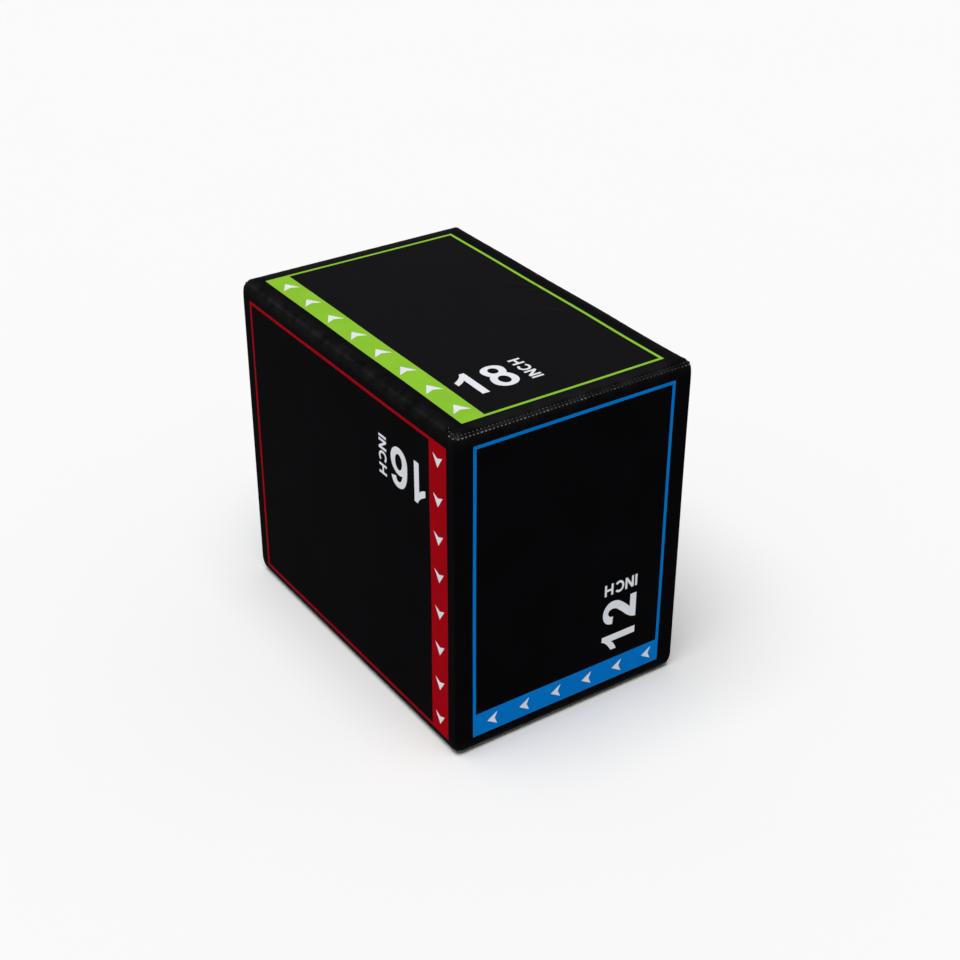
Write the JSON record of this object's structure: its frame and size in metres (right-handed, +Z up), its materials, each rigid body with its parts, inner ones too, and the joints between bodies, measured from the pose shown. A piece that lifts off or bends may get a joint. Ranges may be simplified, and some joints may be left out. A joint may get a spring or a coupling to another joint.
{
  "type": "plyo box",
  "caption": "Padded plyometric jump box: a vinyl cover, zipped at the back, over foam sheets and a screwed plywood carcass. It stands on any side to give another height.",
  "frame": {"origin": "middle of the underside", "axes": "+X right across the front face, +Y from front to back, +Z up"},
  "size_m": [0.3048, 0.4611, 0.4064],
  "materials": {
    "vinyl": "black vinyl with a fine grain and printed borders, arrows and numbers",
    "zip_tape": "woven tape",
    "zip_teeth": "moulded black plastic",
    "zip_metal": "dark nickel plate",
    "foam": "closed-cell foam with a fine cell texture",
    "plywood": "sanded birch ply",
    "screw_steel": "yellow zinc"
  },
  "bodies": {
    "box": {"cover_top_panel": "vinyl", "cover_bottom_panel": "vinyl", "cover_front_panel": "vinyl", "cover_back_panel": "vinyl", "cover_left_panel": "vinyl", "cover_right_panel": "vinyl", "zip_tape_outer": "zip_tape", "zip_tape_ends": "zip_tape", "zip_teeth_outer": "zip_teeth", "zip_teeth_ends": "zip_teeth", "zip_stops": "zip_metal", "foam_top": "foam", "foam_bottom": "foam", "foam_front": "foam", "foam_back": "foam", "foam_left": "foam", "foam_right": "foam", "ply_top": "plywood", "ply_bottom": "plywood", "ply_front": "plywood", "ply_back": "plywood", "ply_left": "plywood", "ply_right": "plywood", "centre_brace": "plywood", "screws_left": "screw_steel", "screws_right": "screw_steel", "screws_top": "screw_steel", "screws_bottom": "screw_steel"},
    "flap": {"back_flap": "vinyl", "zip_tape_inner": "zip_tape", "zip_teeth_inner": "zip_teeth"},
    "slider": {"zip_slider": "zip_metal"},
    "pull": {"zip_pull": "zip_metal"}
  },
  "joints": [
    {"name": "flap_fold", "type": "hinge", "parent": "box", "child": "flap", "pos_m": [0, 0.2288, 0.3551], "axis": [1, 0, 0], "range_deg": [0, 150]},
    {"name": "zip_slide", "type": "slide", "parent": "box", "child": "slider", "axis": [0, 0, 1], "range_m": [-0.341, 0]},
    {"name": "pull_swing", "type": "hinge", "parent": "slider", "child": "pull", "pos_m": [0.1354, 0.2308, 0.3831], "axis": [1, 0, 0], "range_deg": [0, 180]}
  ]
}
